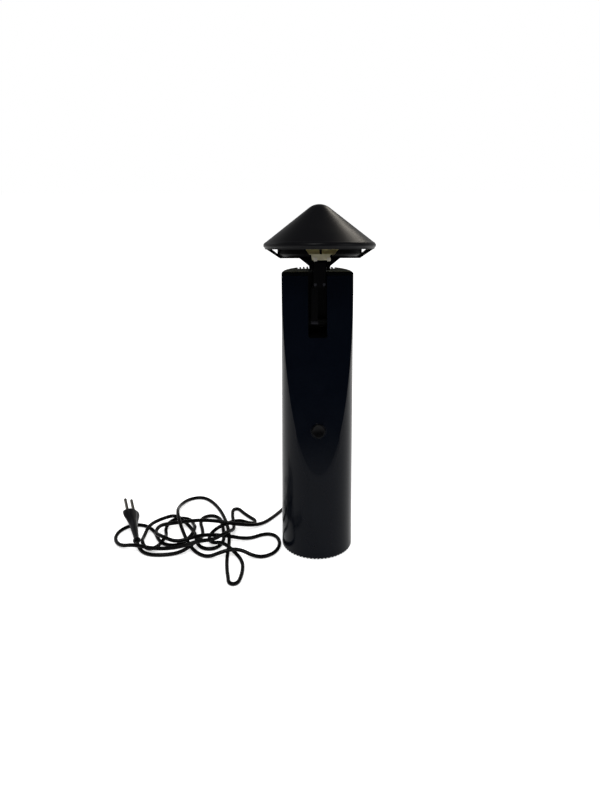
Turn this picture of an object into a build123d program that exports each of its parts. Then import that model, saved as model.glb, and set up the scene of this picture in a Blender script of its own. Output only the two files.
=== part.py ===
"""Tabletop lamp: a black tube with an oblique face, a folding arm and a conical hat.

Frame: millimetres, +Z up, the origin at the centre of the tube on the table.
The oblique face with the button looks along -Y. The arm swings forward about X,
and the head tilts about X on the arm's upper end.
"""
import os
from math import asin, atan2, cos, degrees, hypot, pi, radians, sin

from build123d import *

# ---- tube and oblique face
BODY_R = 40.0            # outside radius of the tube
BODY_WALL = 2.5
BODY_H = 318.0           # top of the lid
FACET_TOE_Z = 100.0      # height at which the oblique face leaves the tube's front
PANEL_T = 2.5            # thickness of the oblique front panel
CAP_H = 6.0              # height of the lid
CAP_T = 2.5              # thickness of the lid's top
CAP_EDGE = 2.0           # radius of the lid's outer edge
CAP_SEAM_Z = BODY_H - 4.0    # the panel ends here, under the lid's front edge
CAP_LIP = 1.8            # the lid's inner lip, which centres it in the tube

# ---- cooling slots in the lid
VENT_COUNT = 11
VENT_PITCH = 4.05
VENT_W = 2.2
VENT_DEPTH = 3.6
VENT_FRONT_Y = 23.0

# ---- bottom ring with its air teeth, screws and rubber pad
BASE_H = 6.0
PAD_RISE = 0.6           # how far the pad stands out under the ring
PAD_SINK = 1.0           # depth of the pad's seat
PAD_R = 28.0
FLOOR_Z = PAD_RISE + 2.4     # inner face of the bottom plate
TEETH = 60
TOOTH_GAP_W = 2.2
TOOTH_GAP_H = 0.8
BOSS_TURNS = (30, 150, 270)
BOSS_RADIUS = 34.2       # the screws stand this far from the middle

# ---- slot and its well
SLOT_W = 20.8
SLOT_BOTTOM_Z = 246.0
WELL_BACK_Y = 12.0
WELL_WALL = 1.6

# ---- arm
ARM_X = 2.6              # the arm stands this far to the right of the slot's middle
ARM_Y = 5.0              # both pivots lie in this upright plane
ARM_LOW_Z = 259.5        # lower pivot
ARM_HIGH_Z = 328.0       # tilt pivot
ARM_W = 15.0
ARM_D = 9.0
SLEEVE_Z = 300.0         # lower end of the arm's sleeve
SLEEVE_T = 1.1
SLEEVE_SCREW_X = 5.0
SLEEVE_SCREW_Z = SLEEVE_Z + 3.6
HUB_R = 3.6
HUB_X0, HUB_X1 = -6.8, 0.8
PIN_R = 2.5              # lower pivot pin
TILT_PIN_R = 1.5
TILT_WASHER_R = 4.7
RUN_GAP = 0.06           # radial clearance of a shaft in its hole
SNUG_GAP = 0.02          # radial clearance of a ring that doesn't turn

# ---- push button on the oblique face; heights are along the button's axis
BUTTON_Z = 146.5
BUTTON_R = 7.3
BUTTON_RISE = 2.8
BUTTON_TRAVEL = 2.5
BUTTON_BACK = -4.0       # rear face of the button's disc
DISH_R, DISH_DEPTH = 19.0, 1.2   # the finger dish
STEM_R = 2.5
STEM_END = -17.0
COLLAR_R = 8.9
COLLAR_T = 1.2
SWITCH_TOP = -6.0
SWITCH_DEPTH = 20.0
SWITCH_HALF = 11.0

# ---- transformer on its seat
CORE_X, CORE_Y, CORE_Z = 58.0, 26.0, 48.0     # laminated core, standing on edge
CORE_LOW = FLOOR_Z + 9
LIMB = 10.0
COIL_Y = 44.0
SHEET = 1.2                                   # bracket and bobbin sheet
LEAD_R = 1.0

# ---- head, in its own frame: origin at the middle of the hat's rim, +Z to the tip
HEAD_LEAN = 8.0          # degrees that the hat leans back at rest
PIVOT_DROP = 16.6        # the tilt pivot lies this far under the rim
HAT_R = 62.7
HAT_H = 48.5
HAT_TIP_R = 19.0
HAT_WALL = 1.3
LINER_T = 0.6
RIM_R, RIM_Z = 59.9, 6.3     # where the cone turns down into its rolled rim
RIM_DROP = 1.9               # the rim's inner edge hangs this far under its bead
PAN_R = 47.0
PAN_FLOOR = -9.8
PAN_TOP = 1.5
PAN_WALL = 1.8
STRAP_T = 2.0
STRAP_D = 18.0
RIVET_Z = 2.8
RIVET_R = 1.1
V_TOP, V_LOW = 20.9, 11.1    # half widths of the V window, just over the pan and just under it
V_BACK_Y = -23.5             # the window reaches inwards to here
TONGUE_W, TONGUE_Z = 9.5, -13.8      # half width and lower end of the reflector's folded tongue
FORK_D = 10.6
FORK_END = 8.4               # radius of the fork's lower ends
ROD_AT = ((1.3, -9.5), (1.3, 9.5))
ROD_R = 0.8
TERMINAL_AT = (-5.9, 8.8)
TERMINAL_LOW, TERMINAL_HIGH = -14.9, -10.9
HOLDER_R = 12.0
HOLDER_LOW = 26.0
HOLDER_H = 9.0
CAPSULE_R = 4.8
CAPSULE_LOW = 4.5
CAPSULE_HIGH = 25.9

# ---- mains lead: a limp two-core flex, from the grommet to the plug's tail
CORD_D = 4.2
CORD_R = CORD_D / 2
CORD_EXIT_Z = 12.0
GROMMET_END_Y = 62.0
ANCHOR_Y = 26.0
ROUTE = [
    (0, 62, 12), (0, 80, 12), (0, 98, 5), (-9, 108, 2.1), (-22, 108, 2.1), (-31, 98, 2.1),
    (-33, 82, 2.1), (-49, 54, 2.1), (-66, 33, 2.1), (-92, 22, 9), (-120, 25, 13), (-146, 34, 9),
    (-170, 35, 5), (-186, 24, 9), (-189, 7, 8), (-178, -8, 12.5), (-160, -15, 8.5),
    (-134, -7, 13.5), (-106, 0, 8), (-80, 1, 2.1), (-60, 14, 2.1), (-46, 8, 2.1), (-42, -12, 2.1),
    (-50, -31, 2.1), (-68, -38, 2.1), (-90, -29, 9), (-108, -31, 6), (-124, -36, 2.1),
    (-141, -22, 2.1), (-155, 9, 3), (-168, 42, 14.5), (-170, 78, 5), (-160, 102, 2.1),
    (-140, 106, 2.1), (-121, 80, 2.1), (-107, 40, 2.1), (-101, 0, 2.1), (-102, -38, 2.1),
    (-100, -62, 2.1), (-98, -74, 2.1), (-97, -83, 2.1), (-92.5, -86.5, 2.1), (-87.5, -84.5, 2.1),
    (-85, -77, 2.1), (-83, -62, 2.1), (-84, -45, 2.1), (-92, -28, 2.1), (-107, -18, 10),
    (-122, -9, 4), (-127, 8, 2.1), (-117, 23, 6), (-94, 33, 9.5), (-81, 35, 4), (-74, 37, 2.1),
    (-72.5, 44, 2.1), (-80, 52, 2.1), (-89, 64, 2.1), (-95, 74, 2.1), (-101.9, 72.1, 2.1),
    (-102, 60, 2.1), (-99, 38, 2.1), (-97, 16, 6), (-104, -2, 13.5), (-118, -14, 11),
    (-136, -20, 13), (-160, -24, 7), (-186, -22, 5.5), (-208, -17, 8), (-226, -10, 2.5),
    (-236, 6, 2.1), (-234, 25, 2.1), (-221, 38, 2.1), (-204, 36, 2.1), (-191, 21, 2.1),
    (-184, 2, 2.1), (-174, -9, 2.1), (-157, -11, 3), (-145, -2, 9.5), (-143, 16, 9.5),
    (-146, 34, 2.5), (-152, 49, 2.1), (-166, 53, 2.1), (-177, 45, 2.1), (-180, 28, 2.1),
    (-176, 12, 2.1), (-176, -5, 8), (-182, -16, 4), (-194, -18, 2.1), (-201.5, -9, 7.5),
    (-202, 8, 3), (-199, 26, 8), (-187, 44, 6), (-170, 51, 7.5), (-154, 37, 2.1),
    (-142, 14, 2.1), (-139, -6, 2.1), (-130, -18, 2.1), (-116, -18, 2.1), (-108, -5, 2.1),
    (-109, 14, 2.1), (-112, 34, 2.1), (-116, 50, 2.1), (-126, 58, 2.1), (-137, 54, 2.1),
    (-140, 42, 2.1), (-135, 24, 2.1), (-133, 6, 3.5), (-138, -14, 9.5), (-154, -26, 2.5),
    (-176, -30, 2.1), (-194, -27, 2.1), (-204, -15, 2.8), (-207.8, -3.5, 4.7),
]

# ---- plug; lengths are along its axis from the tail
PLUG_ROLL = 20.0         # degrees about the last run of the flex, which lifts the plug over a loop
SLEEVE_LEN = 23.0
PLUG_LEN = 56.0
PLUG_WIDE, PLUG_THICK = 10.6, 5.6      # half sizes of the plug's nose
PIN_GAP = 8.0                          # from one plug pin's axis to the other's
PLUG_PIN_R, PLUG_PIN_LEN = 1.9, 24.5

FACET_ANGLE = degrees(atan2(BODY_R, BODY_H - FACET_TOE_Z))     # from upright
FACET = Plane(
    origin=(0, 0, BODY_H),
    x_dir=(1, 0, 0),
    z_dir=(0, -cos(radians(FACET_ANGLE)), sin(radians(FACET_ANGLE))),
)
BUTTON_AT = FACET * Pos(0, -(BODY_H - BUTTON_Z) / cos(radians(FACET_ANGLE)), 0)
HEAD = Pos(ARM_X, ARM_Y, ARM_HIGH_Z) * Rot(-HEAD_LEAN, 0, 0) * Pos(0, 0, PIVOT_DROP)
LAST_RUN = Vector(*ROUTE[-1]) - Vector(*ROUTE[-2])
PLUG = Plane(
    origin=ROUTE[-1],
    x_dir=LAST_RUN.cross(Vector(0, 0, 1)),
    z_dir=LAST_RUN,
) * Rot(0, 0, PLUG_ROLL)
FROM_BELOW = (Align.CENTER, Align.CENTER, Align.MIN)
FAR = 300.0              # longer than the lamp in any direction from a cut

nodes = {}


# ---- small helpers

def disc(radius, z0, z1):
    """An upright round bar from z0 to z1 on the Z axis."""
    return Pos(0, 0, z0) * Cylinder(radius, z1 - z0, align=FROM_BELOW)


def ring(outer, inner, z0, z1):
    return disc(outer, z0, z1) - disc(inner, z0 - 1, z1 + 1)


def block(x0, x1, y0, y1, z0, z1):
    """A box given by its two limits on each axis."""
    size = (x1 - x0, y1 - y0, z1 - z0)
    return Pos((x0 + x1) / 2, (y0 + y1) / 2, (z0 + z1) / 2) * Box(*size)


def rod_x(radius, x0, x1, y, z):
    """A round bar along X."""
    return Pos(x0, y, z) * Rot(0, 90, 0) * Cylinder(radius, x1 - x0, align=FROM_BELOW)


def rod_y(radius, y0, y1, x, z):
    """A round bar along Y."""
    return Pos(x, y0, z) * Rot(-90, 0, 0) * Cylinder(radius, y1 - y0, align=FROM_BELOW)


def prism_y(points, y0, y1):
    """A plate whose outline is given in X and Z, reaching from y0 to y1."""
    face = Plane.XZ * make_face(Polyline(*points, close=True))
    return Pos(0, y0, 0) * extrude(face, amount=-(y1 - y0))


def turned(points):
    """A solid of revolution about Z; points are (radius, height)."""
    return revolve(Plane.XZ * make_face(Polyline(*points, close=True)), Axis.Z)


def before_facet(depth):
    """All the room in front of the oblique face, moved inwards by depth."""
    return FACET * Pos(0, 0, -depth) * Box(FAR, 4 * FAR, FAR, align=FROM_BELOW)


def around_bosses(shape):
    """The shape once at each bottom screw."""
    return [Rot(0, 0, turn) * Pos(BOSS_RADIUS, 0, 0) * shape for turn in BOSS_TURNS]


def add(name, *solids):
    """Keep the solids as one named sub-part."""
    nodes[name] = solids[0] if len(solids) == 1 else Compound(children=list(solids))


# ---- tube, panel, lid and bottom

def body_shell():
    boss = disc(3.4, BASE_H, BASE_H + 14) - disc(1.25, BASE_H - 1, BASE_H + 11)
    shell = ring(BODY_R, BODY_R - BODY_WALL, BASE_H, BODY_H - CAP_H)
    shell -= before_facet(PANEL_T)
    shell -= rod_y(5.0, 20, 60, 0, CORD_EXIT_Z)
    shell += [b & disc(BODY_R - 0.5, 0, FAR) for b in around_bosses(boss)]
    add("body_shell", shell - around_bosses(disc(1.25, BASE_H - 1, BASE_H + 11)))


def front_panel():
    blank = disc(BODY_R, BASE_H, CAP_SEAM_Z) - before_facet(0)
    panel = blank & before_facet(PANEL_T)
    slot = block(-SLOT_W / 2, SLOT_W / 2, -60, 60, SLOT_BOTTOM_Z, BODY_H + 10)
    lower = slot.edges().filter_by(Axis.Y).group_by(Axis.Z)[0]
    panel -= fillet(lower, 2.0)
    add("front_panel", panel - BUTTON_AT * Cylinder(BUTTON_R + 0.7, 30))


def top_cap():
    rim_r = BODY_R - BODY_WALL
    low, under = BODY_H - CAP_H, BODY_H - CAP_T
    cap = disc(BODY_R, low, BODY_H) - before_facet(0)
    cap = fillet(cap.edges().group_by(Axis.Z)[-1], CAP_EDGE)
    cap -= disc(rim_r, low - 1, under) - before_facet(PANEL_T)
    cap += ring(rim_r - 0.1, rim_r - 0.1 - CAP_LIP, low - 4, under) - before_facet(PANEL_T)
    cap -= before_facet(PANEL_T) & block(-FAR, FAR, -FAR, FAR, 0, CAP_SEAM_Z)
    half = SLOT_W / 2
    cap -= block(-half - WELL_WALL, half + WELL_WALL, -9, WELL_BACK_Y + WELL_WALL, low - 9, under)
    cap -= block(-half, half, -9, WELL_BACK_Y, low - 9, BODY_H + 9)
    for i in range(VENT_COUNT):
        x = (i - (VENT_COUNT - 1) / 2) * VENT_PITCH
        cap -= block(x - VENT_W / 2, x + VENT_W / 2, VENT_FRONT_Y, BODY_R + 9,
                     BODY_H - VENT_DEPTH, BODY_H + 9)
    add("top_cap", cap)


def bottom():
    """The plate with its air gaps all round, its screws and its rubber pad."""
    base = disc(BODY_R, PAD_RISE, BASE_H) - disc(BODY_R - 5, FLOOR_Z, BASE_H + 1)
    gap = Pos(BODY_R, 0, PAD_RISE) * Box(6, TOOTH_GAP_W, 2 * TOOTH_GAP_H)
    base = base - [Rot(0, 0, (i + 0.5) * 360 / TEETH) * gap for i in range(TEETH)]
    pads = around_bosses(disc(4.6, PAD_RISE + 1, BASE_H))
    base += [pad & disc(BODY_R - 1, 0, BASE_H) for pad in pads]
    base -= around_bosses(disc(1.7, -1, BASE_H + 1) + disc(3.2, -1, PAD_RISE + 2.2))
    add("base_ring", base - disc(PAD_R, -1, PAD_RISE + PAD_SINK))

    pad = disc(PAD_R, 0, PAD_RISE + PAD_SINK)
    add("base_pad", fillet(pad.edges().group_by(Axis.Z)[0], 0.4))
    screw = disc(3.0, PAD_RISE + 0.4, PAD_RISE + 2.2) + disc(1.25, PAD_RISE + 2.0, BASE_H + 10)
    screw -= block(-3.5, 3.5, -0.4, 0.4, 0, PAD_RISE + 1.1)
    add("base_screws", *around_bosses(screw))


def slot_well():
    half, top = SLOT_W / 2, BODY_H - CAP_T
    well = block(-half - WELL_WALL, half + WELL_WALL, -BODY_R, WELL_BACK_Y + WELL_WALL,
                 SLOT_BOTTOM_Z - WELL_WALL, top)
    well -= block(-half, half, -60, WELL_BACK_Y, SLOT_BOTTOM_Z, top + 9)
    well -= before_facet(PANEL_T)
    well -= rod_x(PIN_R, -30, 30, ARM_Y, ARM_LOW_Z)
    well -= rod_y(2.4, 0, 30, 5.5, SLOT_BOTTOM_Z + 7)
    add("slot_well", well)


def arm_stop_pad():
    pad = block(ARM_X - 5, ARM_X + 5, ARM_Y + ARM_D / 2 + 0.3, WELL_BACK_Y, 304, 312)
    add("arm_stop_pad", fillet(pad.edges().filter_by(Axis.Y), 1.5))


# ---- transformer and wiring inside the tube

def transformer():
    z0, z1 = CORE_LOW, CORE_LOW + CORE_Z
    half_x, half_y = CORE_X / 2, CORE_Y / 2
    core = block(-half_x, half_x, -half_y, half_y, z0, z1)
    for x0, x1 in ((-half_x + LIMB, -LIMB), (LIMB, half_x - LIMB)):
        core -= block(x0, x1, -half_y, half_y, z0 + LIMB, z1 - LIMB)
    add("transformer_core", core)

    low, high = z0 + LIMB, z1 - LIMB
    mid = (low + high) / 2
    reach_x, reach_y = half_x - LIMB, COIL_Y / 2
    tube = block(-LIMB - SHEET, LIMB + SHEET, -half_y - SHEET, half_y + SHEET, low, high)
    bobbin = tube
    for z in (low, mid - SHEET / 2, high - SHEET):
        bobbin += block(-reach_x, reach_x, -reach_y, reach_y, z, z + SHEET)
    add("transformer_bobbin", bobbin - block(-LIMB, LIMB, -half_y, half_y, z0, z1))

    for name, z_low, z_high, slack in (
        ("primary_winding", low + SHEET, mid - SHEET / 2, 1.0),
        ("secondary_winding", mid + SHEET / 2, high - SHEET, 1.6),
    ):
        x, y = reach_x - slack, reach_y - slack
        coil = block(-x, x, -y, y, z_low, z_high)
        add(name, fillet(coil.edges().filter_by(Axis.Z), 3.0) - tube)

    screw_z = z0 - 4
    seat = block(-half_x, half_x, -9, 9, FLOOR_Z, z0) - block(-20, 20, -10, 10, FLOOR_Z - 1, z0 - 2)
    bracket = block(-half_x - SHEET, half_x + SHEET, -7, 7, FLOOR_Z + 0.2, z1 + SHEET)
    bracket -= block(-half_x, half_x, -8, 8, 0, z1)
    shaft = rod_x(1.2, -half_x - 2, half_x + 2, 0, screw_z) - block(-23, 23, -9, 9, 0, z0)
    heads = rod_x(2.4, -half_x - SHEET - 1.6, half_x + SHEET + 1.6, 0, screw_z)
    heads -= block(-half_x - SHEET, half_x + SHEET, -9, 9, 0, z0)
    add("transformer_seat", seat - shaft)
    add("transformer_bracket", bracket - shaft)
    add("bracket_screws", *(shaft + heads).solids())


def lead(points, bend=2.4):
    """A thin insulated wire along straight runs joined by arcs."""
    path = FilletPolyline(*points, radius=bend)
    return sweep(Plane(origin=path @ 0, z_dir=path % 0) * Circle(LEAD_R), path=path)


def wiring():
    """Mains side: terminals, fuse and leads to the switch. Low-voltage side: coil to arm."""
    fuse_y, fuse_z = 18.5, FLOOR_Z + 7
    add("fuse_holder", block(8, 24, 15, 22, FLOOR_Z, FLOOR_Z + 8) - rod_x(2.5, 9, 23, fuse_y, fuse_z))
    add("fuse", rod_x(2.5, 9, 23, fuse_y, fuse_z))

    block_y, top = -24.9, FLOOR_Z + 12
    screws = [Pos(x, block_y, top - 3) for x in (-9, 0, 9)]
    body = block(-14, 14, block_y - 4.5, block_y + 4.5, FLOOR_Z, top)
    add("terminal_block", body - [at * Cylinder(1.75, 9, align=FROM_BELOW) for at in screws])
    add("terminal_screws", *[at * Cylinder(1.75, 2, align=FROM_BELOW) for at in screws])

    z, low = CORD_EXIT_Z, FLOOR_Z + 3
    add("mains_leads", *[
        lead([(x, 25.9, z), (x, 19, z), (x, 14, low), (x, -14.5, low), (x, -17, 9), (x, -20.3, 9)])
        for x in (-1.2, 1.2)
    ])
    add("switch_leads", *[
        lead([(x, 0.6, BUTTON_Z - 12), (x, 0.6, 92), (x, block_y, 70), (x, block_y, top + 0.1)])
        for x in (-5, 5)
    ])
    back = COIL_Y / 2 + 1.2
    add("secondary_leads", *[
        lead([(x, back, CORE_LOW + 32), (x, back, 238), (x + 5, 20, 253), (x + 5, 13.8, 253)])
        for x in (-1.2, 1.2)
    ])


# ---- switch and push button, about the button's axis (z outwards)

def switch_parts():
    hole = BUTTON_R + 0.2
    collar = disc(COLLAR_R, 0, COLLAR_T)
    collar = chamfer(collar.edges().group_by(Axis.Z)[-1], 0.7)
    collar += disc(BUTTON_R + 0.65, SWITCH_TOP, 0.5)
    add("button_collar", BUTTON_AT * (collar - disc(hole, -9, 9)))

    low = SWITCH_TOP - SWITCH_DEPTH
    spring_low = SWITCH_TOP - 5
    body = block(-SWITCH_HALF, SWITCH_HALF, -SWITCH_HALF, SWITCH_HALF, low, SWITCH_TOP)
    body -= disc(hole, spring_low, SWITCH_TOP + 1)
    body -= disc(STEM_R + RUN_GAP, STEM_END - BUTTON_TRAVEL - 1.5, SWITCH_TOP + 1)
    add("switch_body", BUTTON_AT * body)
    add("switch_lugs", *[
        BUTTON_AT * block(x - 2.4, x + 2.4, y - 0.4, y + 0.4, low - 8, low)
        for x in (-5, 5) for y in (-5, 5)
    ])
    add("button_spring", BUTTON_AT * ring(4.4, 3.4, spring_low, BUTTON_BACK))

    button = disc(BUTTON_R, BUTTON_BACK, BUTTON_RISE)
    button = fillet(button.edges().group_by(Axis.Z)[-1], 0.9)
    button -= Pos(0, 0, BUTTON_RISE - DISH_DEPTH + DISH_R) * Sphere(DISH_R)
    button -= block(-0.5, 0.5, -BUTTON_R - 1, -BUTTON_R + 1.0, BUTTON_RISE - 0.8, BUTTON_RISE + 1)
    button += disc(STEM_R, STEM_END, BUTTON_BACK + 0.5)
    add("push_button", BUTTON_AT * button)


# ---- lower pivot

def on_pivot(radius, x0, x1):
    return rod_x(radius, x0, x1, ARM_Y, ARM_LOW_Z)


def pivot_parts():
    half = SLOT_W / 2
    clip_at = [sorted((side * (half + 2.0), side * (half + 2.8))) for side in (-1, 1)]
    groove = PIN_R - 0.5
    pin = on_pivot(PIN_R, -half - 4, half + 4)
    clips = []
    for x0, x1 in clip_at:
        pin -= on_pivot(9, x0, x1) - on_pivot(groove, x0, x1)
        clip = on_pivot(4.6, x0, x1) - on_pivot(groove, x0, x1)
        clips.append(clip - block(x0, x1, ARM_Y - 1.6, ARM_Y + 1.6, ARM_LOW_Z - 9, ARM_LOW_Z))
    add("arm_pivot_pin", pin)
    add("pivot_clips", *clips)

    bore = on_pivot(PIN_R + SNUG_GAP, -half, half)
    add("pivot_spacer", on_pivot(4.4, HUB_X1 + 0.12, half - 0.05) - bore)
    add("friction_washers", *[
        on_pivot(5.2, -half + 0.1 + i * 1.15, -half + 1.1 + i * 1.15) - bore for i in range(3)
    ])


# ---- arm

def arm_core(width, depth, low):
    """The arm's upper half: a flat-sided bar with a round end about the tilt pivot."""
    x0, x1 = ARM_X - width / 2, ARM_X + width / 2
    bar = block(x0, x1, ARM_Y - depth / 2, ARM_Y + depth / 2, low, ARM_HIGH_Z)
    return bar + rod_x(depth / 2, x0, x1, ARM_Y, ARM_HIGH_Z)


def arm_parts():
    tilt_hole = rod_x(TILT_PIN_R + RUN_GAP, -30, 30, ARM_Y, ARM_HIGH_Z)
    inner_w, inner_d = ARM_W - 2 * SLEEVE_T, ARM_D - 2 * SLEEVE_T
    front, inner_front = ARM_Y - ARM_D / 2, ARM_Y - inner_d / 2
    screw_at = [ARM_X + side * SLEEVE_SCREW_X for side in (-1, 1)]

    upper = arm_core(inner_w, inner_d, SLEEVE_Z)
    lower = block(HUB_X0, HUB_X1, inner_front, ARM_Y + inner_d / 2, ARM_LOW_Z + 2, SLEEVE_Z)
    lower -= on_pivot(HUB_R, HUB_X0, HUB_X1)
    groove = block(ARM_X + 0.4, ARM_X + 3.2, ARM_Y - 9, ARM_Y - 1.4, SLEEVE_Z, ARM_HIGH_Z - 5)
    taps = [rod_y(1.0, ARM_Y - 9, ARM_Y - 0.5, x, SLEEVE_SCREW_Z) for x in screw_at]
    add("arm_bar", upper + lower - tilt_hole - groove - taps)
    add("arm_hub", on_pivot(HUB_R, HUB_X0, HUB_X1) - on_pivot(PIN_R + RUN_GAP, HUB_X0, HUB_X1))

    sleeve = arm_core(ARM_W, ARM_D, SLEEVE_Z)
    sleeve = fillet(sleeve.edges().filter_by(Axis.Z), 1.6)
    add("arm_sleeve", sleeve - upper - tilt_hole - taps)
    add("sleeve_screws", *[
        rod_y(1.6, front - 0.7, front, x, SLEEVE_SCREW_Z)
        + rod_y(0.95, front - 0.2, ARM_Y - 0.6, x, SLEEVE_SCREW_Z)
        for x in screw_at
    ])
    add("arm_lead", block(ARM_X + 0.8, ARM_X + 2.8, inner_front + 0.1, ARM_Y - 1.5,
                          SLEEVE_Z + 0.5, ARM_HIGH_Z - 5.2))


# ---- head, in its own frame

def hat_curve(inset):
    """Half outline of the cone, moved inwards by inset: tip arc, flank and the flank's foot."""
    centre_z = HAT_H - HAT_TIP_R
    flank = asin(HAT_TIP_R / hypot(centre_z - RIM_Z, RIM_R)) + atan2(centre_z - RIM_Z, RIM_R)
    radius = HAT_TIP_R - inset
    start = (0, centre_z + radius)
    middle = (radius * sin(flank / 2), centre_z + radius * cos(flank / 2))
    end = (radius * sin(flank), centre_z + radius * cos(flank))
    foot = (RIM_R - inset * sin(flank), RIM_Z - inset * cos(flank))
    return start, middle, end, foot


def shade_hat():
    start, middle, end, foot = hat_curve(0)
    start_in, middle_in, end_in, foot_in = hat_curve(HAT_WALL)
    rim = [foot, (61.9, 4.7), (HAT_R, 2.9), (62.5, 1.2), (61.4, 0)]
    lip = [(61.4, 0), (60.8, -RIM_DROP), (59.9, -RIM_DROP), (60.0, 3.6), foot_in]
    outline = [
        ThreePointArc(start, middle, end),
        Line(end, foot),
        Spline(rim),
        Polyline(*lip),
        Line(foot_in, end_in),
        ThreePointArc(end_in, middle_in, start_in),
        Line(start_in, start),
    ]
    add("shade_hat", HEAD * revolve(Plane.XZ * make_face(Curve() + outline), Axis.Z))


def hat_liner():
    start, middle, end, foot = hat_curve(HAT_WALL)
    start_in, middle_in, end_in, foot_in = hat_curve(HAT_WALL + LINER_T)
    outline = [
        ThreePointArc(start, middle, end),
        Line(end, foot),
        Line(foot, foot_in),
        Line(foot_in, end_in),
        ThreePointArc(end_in, middle_in, start_in),
        Line(start_in, start),
    ]
    liner = revolve(Plane.XZ * make_face(Curve() + outline), Axis.Z)
    add("hat_liner", HEAD * (liner - ring(FAR, 57.2, 0, RIM_Z)))


def rod_holes(radius):
    return [Pos(x, y, 0) * disc(radius, -30, 9) for x, y in ROD_AT]


def v_window(margin):
    """The wedge cut out of the front of the pan, wider by margin on each side."""
    low, high = V_LOW + margin, V_TOP + margin
    below, above = PAN_FLOOR - 1, PAN_TOP + 1
    points = [(-low, below), (low, below), (high, above), (-high, above)]
    return prism_y(points, -PAN_R - 5, V_BACK_Y)


def lamp_pan():
    inner, floor = PAN_R - PAN_WALL, PAN_FLOOR + PAN_WALL
    pan = turned([
        (0, PAN_FLOOR), (43.2, PAN_FLOOR), (PAN_R, -6.95), (PAN_R, PAN_TOP),
        (inner, PAN_TOP), (inner, -5.9), (42.6, floor), (0, floor),
    ])
    add("lamp_pan", HEAD * (pan - v_window(0) - rod_holes(1.0)))


def pan_reflector():
    outer = PAN_R - PAN_WALL - 0.1
    low = PAN_FLOOR + PAN_WALL + 0.05
    dish = turned([
        (0, low), (outer - 7, low), (outer - 3.6, low + 1.6), (outer - 0.9, low + 4.8),
        (outer, PAN_TOP), (outer - LINER_T, PAN_TOP), (outer - 0.9 - LINER_T, low + 5.0),
        (outer - 4.1, low + 2.1), (outer - 7.2, low + LINER_T), (0, low + LINER_T),
    ])
    dish = dish - v_window(0.4) - rod_holes(1.4)
    top, wide = low + LINER_T, V_LOW - 0.5
    outline = [(-wide, top), (wide, top), (TONGUE_W, TONGUE_Z), (-TONGUE_W, TONGUE_Z)]
    dish += prism_y(outline, V_BACK_Y - LINER_T - 0.3, V_BACK_Y - 0.3)
    dish += block(-wide, wide, V_BACK_Y - 0.5, V_BACK_Y + 1, low, top)
    add("pan_reflector", HEAD * dish)


def yoke_strap():
    """A bent strip from rim to rim that passes under the pan, riveted to the hat."""
    low = PAN_FLOOR - STRAP_T
    right = [
        (44.3, low), (59.5, -1.6), (59.5, 4.0), (57.7, 4.0), (57.7, 1.6), (43.4, PAN_FLOOR + 0.2),
        (43.4, PAN_FLOOR),
    ]
    strip = prism_y(right + [(-x, z) for x, z in reversed(right)], -STRAP_D / 2, STRAP_D / 2)
    strip &= disc(59.5, low - 1, 9)
    strip -= rod_x(0.9, -70, 70, 0, RIVET_Z)
    add("yoke_strap", HEAD * (strip - rod_holes(1.0)))

    rivet = rod_x(RIVET_R, 56.9, 57.6, 0, RIVET_Z) + rod_x(0.9, 57.0, 59.3, 0, RIVET_Z)
    add("strap_rivets", *[HEAD * side for side in (rivet, mirror(rivet, about=Plane.YZ))])


def tilt_fork():
    top = PAN_FLOOR - STRAP_T
    gap = ARM_W / 2 + 0.35
    end = -PIVOT_DROP - FORK_END
    cheek = prism_y(
        [(gap, end), (11.2, end), (11.7, -20.5), (22.6, top), (gap, top)],
        -FORK_D / 2, FORK_D / 2,
    )
    keep = block(0, 60, -FORK_D / 2, FORK_D / 2, -PIVOT_DROP, 0)
    cheek &= keep + rod_x(FORK_END, 0, 60, 0, -PIVOT_DROP)
    cheek -= rod_x(TILT_PIN_R, 0, 60, 0, -PIVOT_DROP)
    add("tilt_fork", HEAD * cheek, HEAD * mirror(cheek, about=Plane.YZ))

    add("tilt_pin", HEAD * rod_x(TILT_PIN_R, -14, 14, 0, -PIVOT_DROP))
    washer = rod_x(TILT_WASHER_R, ARM_W / 2 + 0.06, gap, 0, -PIVOT_DROP)
    washer -= rod_x(TILT_PIN_R, 0, 30, 0, -PIVOT_DROP)
    add("tilt_washers", HEAD * washer, HEAD * mirror(washer, about=Plane.YZ))


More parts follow.
